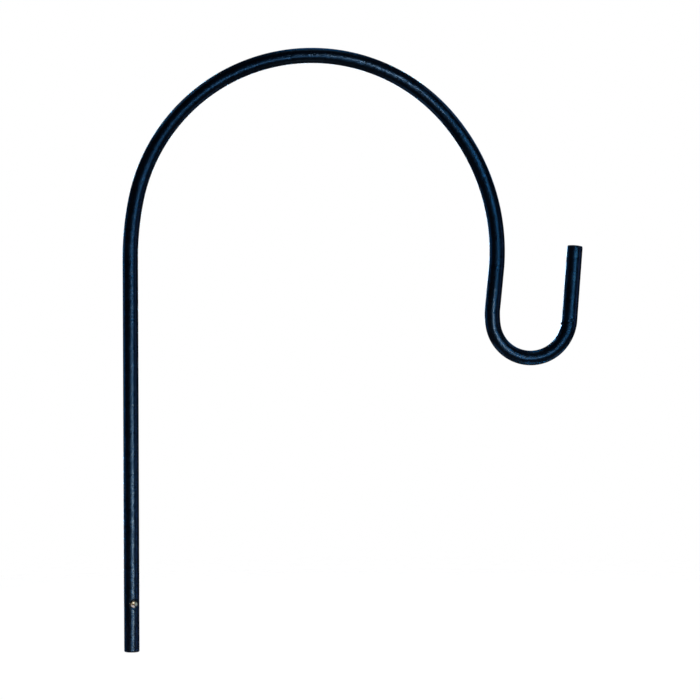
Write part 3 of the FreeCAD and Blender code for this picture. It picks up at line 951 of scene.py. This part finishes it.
for n, (turn, rise, x, z, power) in enumerate(((-155, 2, 0.004, 0.455, 9.0), (-157, 10, 0.028, 0.512, 12.0), (-160, 15, 0.055, 0.545, 12.0), (-165, 20, 0.092, 0.573, 12.0), (168, 22, 0.275, 0.580, 12.0))):   # along the arch's outer rim
    beam("arch_rim_%d" % n, turn, rise, x, z, 0.09, power, (0.04, 0.50, 1.0), 0.06)
panel("rear_right", 155, 20, 0.9, 4.0, (0.20, 0.52, 1.0))
panel("back_a", 186, 8, 0.42, 14.0, (0.20, 0.56, 1.0))
panel("back_b", 184, 3, 0.42, 6.0, (0.34, 0.64, 1.0))
panel("button_key", 8, 41, 0.60, 2.0, (0.93, 0.97, 1.0), AT_BUTTON, 0.8, BRASS)
panel("button_low", -24, -64, 1.2, 5.2, (0.60, 0.67, 1.0), AT_BUTTON, 0.8, BRASS)
panel("button_left", -78, -6, 0.74, 1.8, (1.0, 0.90, 0.86), AT_BUTTON, 0.8, BRASS)
panel("button_right", 80, 2, 1.0, 1.6, (0.50, 0.73, 1.0), AT_BUTTON, 0.8, BRASS)
panel("button_back", 138, 4, 0.9, 0.45, (1.0, 0.93, 0.84), AT_BUTTON, 0.8, BRASS)
panel("button_front", 14, -4, 0.76, 0.26, (1.0, 0.52, 0.12), AT_BUTTON, 0.8, BRASS)

world = bpy.data.worlds.new("studio")
scene.world = world
world.use_nodes = True
wt = world.node_tree
wt.nodes.clear()
w_out = wt.nodes.new("ShaderNodeOutputWorld")
w_mix = wt.nodes.new("ShaderNodeMixShader")
w_path = wt.nodes.new("ShaderNodeLightPath")
w_seen = wt.nodes.new("ShaderNodeBackground")
w_seen.inputs["Color"].default_value = (1.0, 1.0, 1.0, 1.0)
w_lit = wt.nodes.new("ShaderNodeBackground")
w_co = wt.nodes.new("ShaderNodeTexCoord")
w_xyz = wt.nodes.new("ShaderNodeSeparateXYZ")
w_rear = wt.nodes.new("ShaderNodeMapRange")
w_rear.interpolation_type = "SMOOTHSTEP"
wt.links.new(w_co.outputs["Generated"], w_xyz.inputs[0])
wt.links.new(w_xyz.outputs["Y"], w_rear.inputs[0])
for i, v in ((1, -0.1), (2, 0.9), (3, 0.0), (4, 1.0)):
    w_rear.inputs[i].default_value = v
w_tint = wt.nodes.new("ShaderNodeMix")
w_tint.data_type = "RGBA"
tints = [s for s in w_tint.inputs if s.type == "RGBA"]
tints[0].default_value = (0.004, 0.005, 0.007, 1.0)
tints[1].default_value = (0.020, 0.032, 0.060, 1.0)
wt.links.new(w_rear.outputs[0], w_tint.inputs["Factor"])
wt.links.new([s for s in w_tint.outputs if s.type == "RGBA"][0], w_lit.inputs["Color"])
wt.links.new(w_path.outputs["Is Camera Ray"], w_mix.inputs[0])
wt.links.new(w_lit.outputs[0], w_mix.inputs[1])
wt.links.new(w_seen.outputs[0], w_mix.inputs[2])
wt.links.new(w_mix.outputs[0], w_out.inputs["Surface"])


def make_floor():
    """Pale round floor under the spigot's end that fades out into the background."""
    mesh = bpy.data.meshes.new("floor")
    radius, n = 1.6, 96
    points = [(0.0, 0.0, 0.0)]
    faces = []
    rings = (0.2, 0.5, 0.9, radius)
    for k, r in enumerate(rings):
        points += [(r * math.cos(2 * math.pi * i / n), r * math.sin(2 * math.pi * i / n), 0.0) for i in range(n)]
        for i in range(n):
            j = (i + 1) % n
            b = 1 + k * n
            faces.append((0, b + i, b + j) if k == 0 else (b - n + i, b + i, b + j, b - n + j))
    mesh.from_pydata(points, [], faces)
    mesh.update()
    floor = bpy.data.objects.new("floor", mesh)
    floor.location = (0.235, 0.0, Z_END * MM - 0.0002)
    scene.collection.objects.link(floor)
    mat = bpy.data.materials.new("floor")
    mat.use_nodes = True
    t = mat.node_tree
    t.nodes.clear()
    out = t.nodes.new("ShaderNodeOutputMaterial")
    fade = t.nodes.new("ShaderNodeMixShader")
    clear = t.nodes.new("ShaderNodeBsdfTransparent")
    both = t.nodes.new("ShaderNodeAddShader")
    glow = t.nodes.new("ShaderNodeEmission")
    glow.inputs["Color"].default_value = (1.0, 1.0, 1.0, 1.0)
    glow.inputs["Strength"].default_value = 1.0
    dull = t.nodes.new("ShaderNodeBsdfDiffuse")
    dull.inputs["Color"].default_value = (0.8, 0.8, 0.8, 1.0)
    co = t.nodes.new("ShaderNodeTexCoord")
    size = t.nodes.new("ShaderNodeVectorMath")
    size.operation = "LENGTH"
    ease = t.nodes.new("ShaderNodeMapRange")
    ease.interpolation_type = "SMOOTHSTEP"
    for i, v in ((1, 0.55), (2, 1.5), (3, 0.0), (4, 1.0)):
        ease.inputs[i].default_value = v
    under = t.nodes.new("ShaderNodeNewGeometry")
    most = t.nodes.new("ShaderNodeMath")
    most.operation = "MAXIMUM"
    t.links.new(co.outputs["Object"], size.inputs[0])
    t.links.new(size.outputs["Value"], ease.inputs[0])
    t.links.new(ease.outputs[0], most.inputs[0])
    t.links.new(under.outputs["Backfacing"], most.inputs[1])
    t.links.new(glow.outputs[0], both.inputs[0])
    t.links.new(dull.outputs[0], both.inputs[1])
    t.links.new(most.outputs[0], fade.inputs[0])
    t.links.new(both.outputs[0], fade.inputs[1])
    t.links.new(clear.outputs[0], fade.inputs[2])
    t.links.new(fade.outputs[0], out.inputs["Surface"])
    mesh.materials.append(mat)
    floor.visible_glossy = False
    floor.visible_shadow = False


make_floor()
scene.view_settings.view_transform = "Standard"
scene.view_settings.look = "None"
scene.view_settings.exposure = 0.0
scene.view_settings.gamma = 1.0

bpy.context.view_layer.update()
